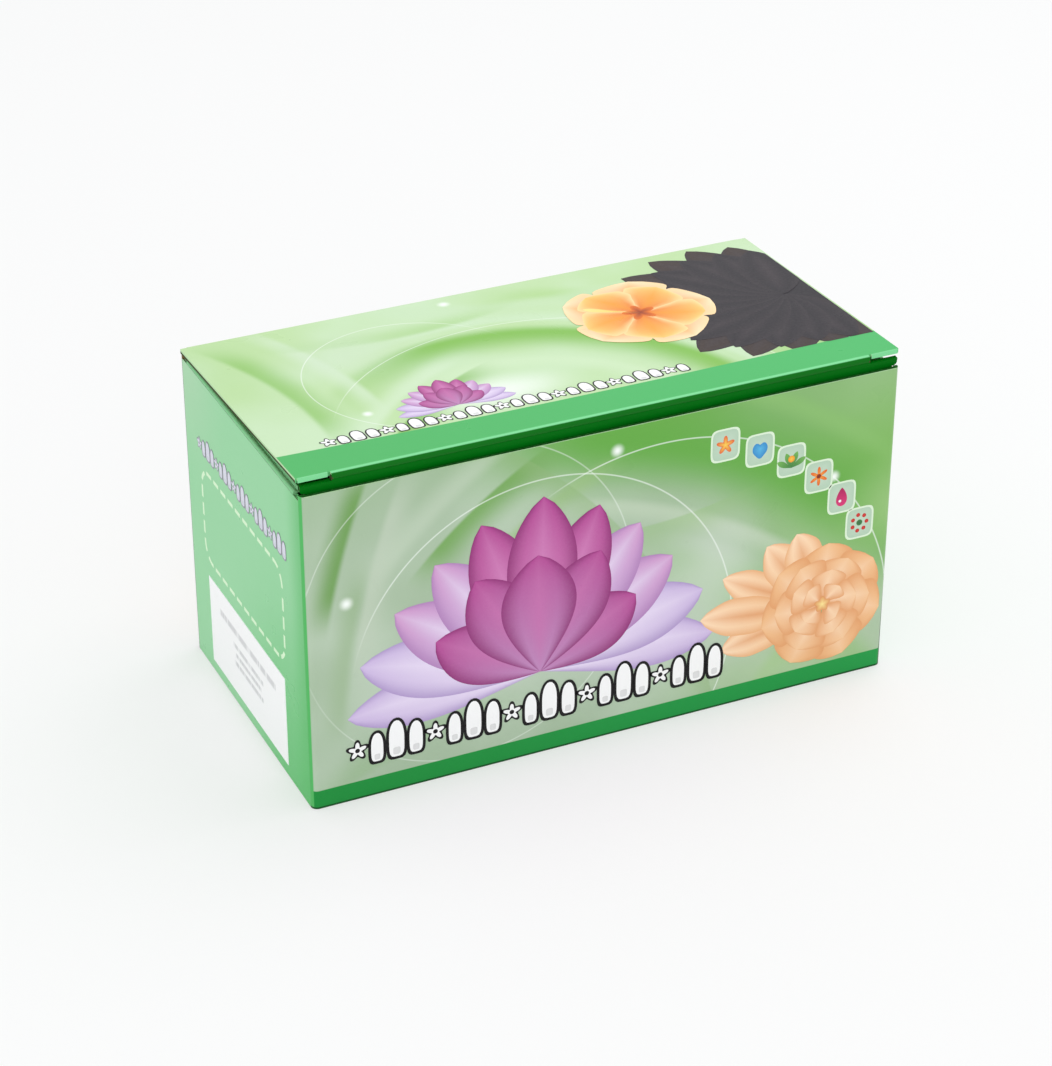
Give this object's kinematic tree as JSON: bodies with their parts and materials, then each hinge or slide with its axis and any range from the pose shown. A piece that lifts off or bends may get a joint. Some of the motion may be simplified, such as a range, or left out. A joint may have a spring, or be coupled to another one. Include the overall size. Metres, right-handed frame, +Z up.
{
  "type": "hand-operated nail art printer in its retail carton",
  "caption": "Hand-operated nail art printer packed in a corrugated retail carton with a hinged tuck lid, locking slits and dust flaps.",
  "frame": {"origin": "centre of the carton's underside", "axes": "+X along the carton's long side, +Y from the front panel to the back panel, +Z up"},
  "size_m": [0.221, 0.116, 0.126],
  "materials": {
    "printed_board": "gloss-laminated print",
    "kraft_board": "plain kraft",
    "label_paper": "matt",
    "lavender_plastic": "semi-gloss moulded",
    "plum_plastic": "gloss moulded",
    "steel": "brushed",
    "stamp_rubber": "matt",
    "dark_rubber": "matt"
  },
  "bodies": {
    "carton": {"front_panel": "printed_board", "back_panel": "printed_board", "left_panel": "printed_board", "right_panel": "printed_board", "glue_flap": "kraft_board", "bottom_front_flap": "printed_board", "bottom_rear_flap": "printed_board", "bottom_left_flap": "kraft_board", "bottom_right_flap": "kraft_board", "side_label": "label_paper", "insert_tray": "kraft_board", "insert_rib_front": "kraft_board", "insert_rib_rear": "kraft_board", "base_shell": "lavender_plastic", "bottom_cover": "lavender_plastic", "base_screws": "steel", "rubber_feet": "dark_rubber", "deck_plate": "lavender_plastic", "hood_shell": "plum_plastic", "hood_boss": "plum_plastic", "guard_arch": "lavender_plastic", "index_comb": "plum_plastic", "curved_rack": "lavender_plastic", "pivot_axle": "steel", "plate_holder": "lavender_plastic", "pattern_plate": "steel", "finger_rest": "plum_plastic", "finger_pad": "dark_rubber", "turntable_spindle": "steel"},
    "lid": {"lid_panel": "printed_board"},
    "tuck": {"tuck_flap": "printed_board"},
    "dust_left": {"dust_flap_left": "printed_board"},
    "dust_right": {"dust_flap_right": "printed_board"},
    "handle": {"swing_arm": "lavender_plastic", "grip_bar": "lavender_plastic", "roller_axle": "steel"},
    "stamp_roller": {"stamp_core": "lavender_plastic", "stamp_tyre": "stamp_rubber", "pinion": "steel"},
    "turntable": {"turntable": "lavender_plastic", "pattern_disc": "steel"},
    "scraper": {"scraper_carriage": "plum_plastic", "scraper_blade": "steel"},
    "button": {"release_button": "plum_plastic"}
  },
  "joints": [
    {"name": "lid_hinge", "type": "hinge", "parent": "carton", "child": "lid", "pos_m": [0, 0.0572, 0.1201], "axis": [-1, 0, 0], "range_deg": [0, 172]},
    {"name": "tuck_fold", "type": "hinge", "parent": "lid", "child": "tuck", "pos_m": [0, -0.0551, 0.1244], "axis": [-1, 0, 0], "range_deg": [0, 63]},
    {"name": "dust_left_fold", "type": "hinge", "parent": "carton", "child": "dust_left", "pos_m": [-0.1092, 0, 0.1184], "axis": [0, -1, 0], "range_deg": [0, 99]},
    {"name": "dust_right_fold", "type": "hinge", "parent": "carton", "child": "dust_right", "pos_m": [0.1092, 0, 0.1184], "axis": [0, 1, 0], "range_deg": [0, 99]},
    {"name": "handle_swing", "type": "hinge", "parent": "carton", "child": "handle", "pos_m": [0.032, 0.004, 0.0544], "axis": [0, 1, 0], "range_deg": [-32, 68]},
    {"name": "roller_spin", "type": "hinge", "parent": "handle", "child": "stamp_roller", "pos_m": [0.02149, -0.0083, 0.08674], "axis": [0, 1, 0], "range_deg": [-454, 214]},
    {"name": "turntable_spin", "type": "hinge", "parent": "carton", "child": "turntable", "pos_m": [-0.06, -0.008, 0.0404], "axis": [0, 0, 1], "continuous": true},
    {"name": "scraper_slide", "type": "slide", "parent": "carton", "child": "scraper", "axis": [1, 0, 0], "range_m": [0, 0.04]},
    {"name": "button_press", "type": "slide", "parent": "carton", "child": "button", "axis": [0, 0, -1], "range_m": [0, 0.002], "stiffness_N_per_m": 300, "springref_m": -0.001}
  ],
  "couplings": [
    {"joint": "tuck_fold", "follows": "lid_hinge", "ratio": 0.35},
    {"joint": "dust_left_fold", "follows": "lid_hinge", "ratio": 0.55},
    {"joint": "dust_right_fold", "follows": "lid_hinge", "ratio": 0.55},
    {"joint": "roller_spin", "follows": "handle_swing", "ratio": -6.6667}
  ]
}
